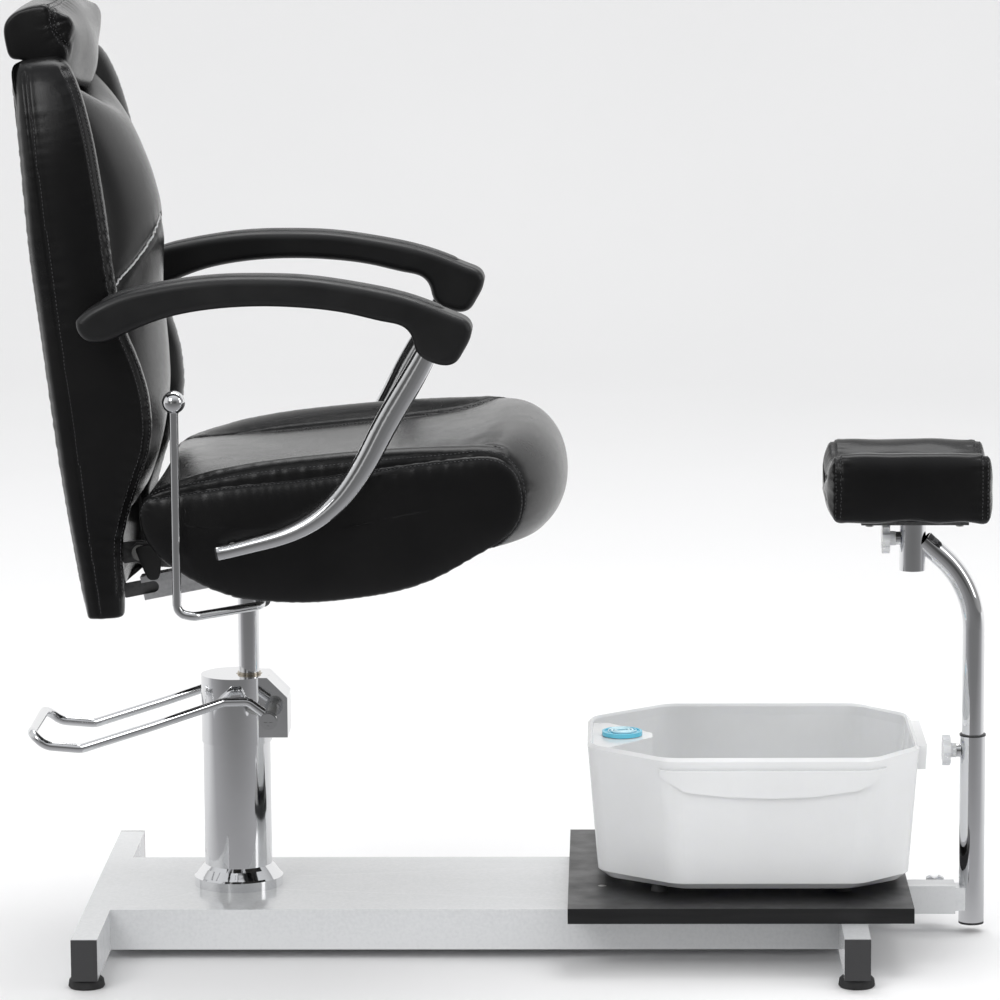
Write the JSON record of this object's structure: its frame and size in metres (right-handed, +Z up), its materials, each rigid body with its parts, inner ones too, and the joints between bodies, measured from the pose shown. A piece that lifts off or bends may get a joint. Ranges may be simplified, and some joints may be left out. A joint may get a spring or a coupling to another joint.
{
  "type": "pedicure spa chair",
  "caption": "Reclining pedicure chair on a hydraulic lift, with swivel seat, padded back, foot pump pedal, swing-out leg rest and a lift-off foot basin on a tray.",
  "frame": {"origin": "on the floor, below the middle of the overall length and width", "axes": "+X from the backrest towards the leg rest, +Y to the sitter's left, +Z up"},
  "size_m": [1.1365, 0.574, 1.1173],
  "materials": {
    "white_paint": "glossy white powder coat",
    "black_plastic": "satin moulded plastic",
    "black_rubber": "matt rubber",
    "zinc_steel": "zinc plated steel",
    "black_board": "black laminated board",
    "chrome": "polished chrome plate",
    "bronze": "turned bronze",
    "black_steel": "black painted steel",
    "grey_paint": "grey painted steel",
    "plywood": "bare plywood",
    "black_vinyl": "glossy black synthetic leather",
    "arm_plastic": "satin black moulded plastic",
    "knob_plastic": "milky white plastic",
    "white_plastic": "glossy white moulded plastic",
    "cyan_plastic": "light blue moulded plastic"
  },
  "bodies": {
    "base": {"rear_cross_tube": "white_paint", "front_cross_tube": "white_paint", "base_beam": "white_paint", "tube_end_caps": "black_plastic", "rubber_feet": "black_rubber", "foot_screws": "zinc_steel", "tray_board": "black_board", "tray_screws": "zinc_steel", "arm_guide_sleeve": "white_paint", "pump_outer_cylinder": "chrome", "pump_bolts": "zinc_steel", "pressure_tube": "zinc_steel", "pump_head": "chrome", "gland_bush": "bronze", "rod_seal": "black_rubber", "plunger_spring": "zinc_steel"},
    "lift": {"lift_rod": "chrome"},
    "pedal": {"foot_pedal": "chrome", "pedal_shaft": "zinc_steel", "pedal_bolts": "chrome"},
    "plunger": {"pump_plunger": "zinc_steel"},
    "seat": {"seat_mount_plate": "black_steel", "seat_board": "plywood", "seat_bolts": "zinc_steel", "seat_side_brackets": "black_steel", "seat_cushion": "black_vinyl", "seat_side_bolsters": "black_vinyl", "recline_brackets": "black_steel", "arm_seat_bolts": "zinc_steel"},
    "strut_sleeve": {"strut_sleeve": "grey_paint"},
    "strut_bar": {"strut_bar": "black_steel"},
    "back": {"back_panel": "black_vinyl", "back_cushion": "black_vinyl", "back_side_bolsters": "black_vinyl", "headrest": "black_vinyl", "back_frame": "black_steel", "back_pins": "zinc_steel", "arm_back_bolts": "zinc_steel"},
    "lever": {"recline_lever": "chrome"},
    "arm_tubes": {"arm_tube_right": "chrome", "arm_tube_left": "chrome", "arm_pad_pins": "zinc_steel"},
    "arm_pads": {"arm_pad_right": "arm_plastic", "arm_pad_left": "arm_plastic"},
    "footrest_arm": {"footrest_arm": "white_paint", "footrest_post": "chrome", "post_bush_and_cap": "black_plastic"},
    "bent_tube_plug": {"bent_tube_plug": "black_plastic"},
    "bent_tube": {"footrest_bent_tube": "chrome"},
    "stem_plug": {"stem_end_plug": "black_plastic"},
    "foot_pad": {"foot_pad": "black_vinyl", "pad_stem_plate": "black_steel", "pad_screws": "zinc_steel"},
    "arm_clamp_knob": {"arm_clamp_knob": "knob_plastic"},
    "post_clamp_knob": {"post_clamp_knob": "knob_plastic"},
    "pad_clamp_knob": {"pad_clamp_knob": "knob_plastic"},
    "basin": {"basin_tub": "white_plastic", "basin_feet": "black_rubber", "dial_switch_body": "white_plastic"},
    "basin_dial": {"basin_dial": "cyan_plastic"}
  },
  "joints": [
    {"name": "seat_lift", "type": "slide", "parent": "base", "child": "lift", "axis": [0, 0, 1], "range_m": [-0.075, 0.07]},
    {"name": "seat_swivel", "type": "hinge", "parent": "lift", "child": "seat", "pos_m": [-0.31, 0, 0.45], "axis": [0, 0, 1], "continuous": true},
    {"name": "back_recline", "type": "hinge", "parent": "seat", "child": "back", "pos_m": [-0.421, 0, 0.49], "axis": [0, -1, 0], "range_deg": [0, 30]},
    {"name": "arm_tube_pivot", "type": "hinge", "parent": "seat", "child": "arm_tubes", "pos_m": [-0.306, 0, 0.508], "axis": [0, -1, 0], "range_deg": [-0.5, 31.4]},
    {"name": "arm_pad_pivot", "type": "hinge", "parent": "arm_tubes", "child": "arm_pads", "pos_m": [-0.076, 0, 0.745], "axis": [0, -1, 0], "range_deg": [-10.2, 0.5]},
    {"name": "strut_pivot", "type": "hinge", "parent": "seat", "child": "strut_sleeve", "pos_m": [-0.286, -0.05, 0.457], "axis": [0, -1, 0], "range_deg": [-0.2, 7.2]},
    {"name": "strut_slide", "type": "slide", "parent": "strut_sleeve", "child": "strut_bar", "axis": [0.9819, 0, 0.1895], "range_m": [-0.0005, 0.0345]},
    {"name": "recline_lever_pull", "type": "hinge", "parent": "seat", "child": "lever", "pos_m": [-0.281, -0.1, 0.432], "axis": [0, -1, 0], "range_deg": [0, 14]},
    {"name": "pedal_press", "type": "hinge", "parent": "base", "child": "pedal", "pos_m": [-0.282, 0, 0.274], "axis": [0, -1, 0], "range_deg": [0, 22]},
    {"name": "plunger_stroke", "type": "slide", "parent": "base", "child": "plunger", "axis": [0, 0, 1], "range_m": [-0.0027, 0.0001], "deforming": ["plunger_spring"]},
    {"name": "footrest_extend", "type": "slide", "parent": "base", "child": "footrest_arm", "axis": [1, 0, 0], "range_m": [0, 0.14]},
    {"name": "footrest_height", "type": "slide", "parent": "footrest_arm", "child": "bent_tube_plug", "axis": [0, 0, 1], "range_m": [-0.07, 0.08]},
    {"name": "footrest_swing", "type": "hinge", "parent": "bent_tube_plug", "child": "bent_tube", "pos_m": [0.551, 0, 0.2], "axis": [0, 0, 1], "range_deg": [-100, 100]},
    {"name": "foot_pad_height", "type": "slide", "parent": "bent_tube", "child": "stem_plug", "axis": [0, 0, 1], "range_m": [0, 0.025]},
    {"name": "foot_pad_turn", "type": "hinge", "parent": "stem_plug", "child": "foot_pad", "pos_m": [0.478, 0, 0.47], "axis": [0, 0, 1], "range_deg": [-90, 90]},
    {"name": "arm_clamp_turn", "type": "hinge", "parent": "base", "child": "arm_clamp_knob", "pos_m": [0.51, 0.03, 0.042], "axis": [0, 1, 0], "range_deg": [0, 360]},
    {"name": "post_clamp_turn", "type": "hinge", "parent": "footrest_arm", "child": "post_clamp_knob", "pos_m": [0.525, 0, 0.221], "axis": [-1, 0, 0], "range_deg": [0, 360]},
    {"name": "pad_clamp_turn", "type": "hinge", "parent": "bent_tube", "child": "pad_clamp_knob", "pos_m": [0.45, 0, 0.477], "axis": [-1, 0, 0], "range_deg": [0, 360]},
    {"name": "basin_lift_off", "type": "slide", "parent": "base", "child": "basin", "axis": [0, 0, 1], "range_m": [0, 0.12]},
    {"name": "basin_dial_turn", "type": "hinge", "parent": "basin", "child": "basin_dial", "pos_m": [0.134, 0, 0.24], "axis": [0, 0, 1], "range_deg": [0, 270]}
  ],
  "couplings": [
    {"joint": "arm_tube_pivot", "follows": "back_recline", "ratio": 1.0286},
    {"joint": "arm_pad_pivot", "follows": "back_recline", "ratio": -0.3224},
    {"joint": "strut_pivot", "follows": "back_recline", "ratio": 0.2324},
    {"joint": "strut_slide", "follows": "back_recline", "m_per_rad": 0.06458},
    {"joint": "plunger_stroke", "follows": "pedal_press", "m_per_rad": -0.0066}
  ]
}
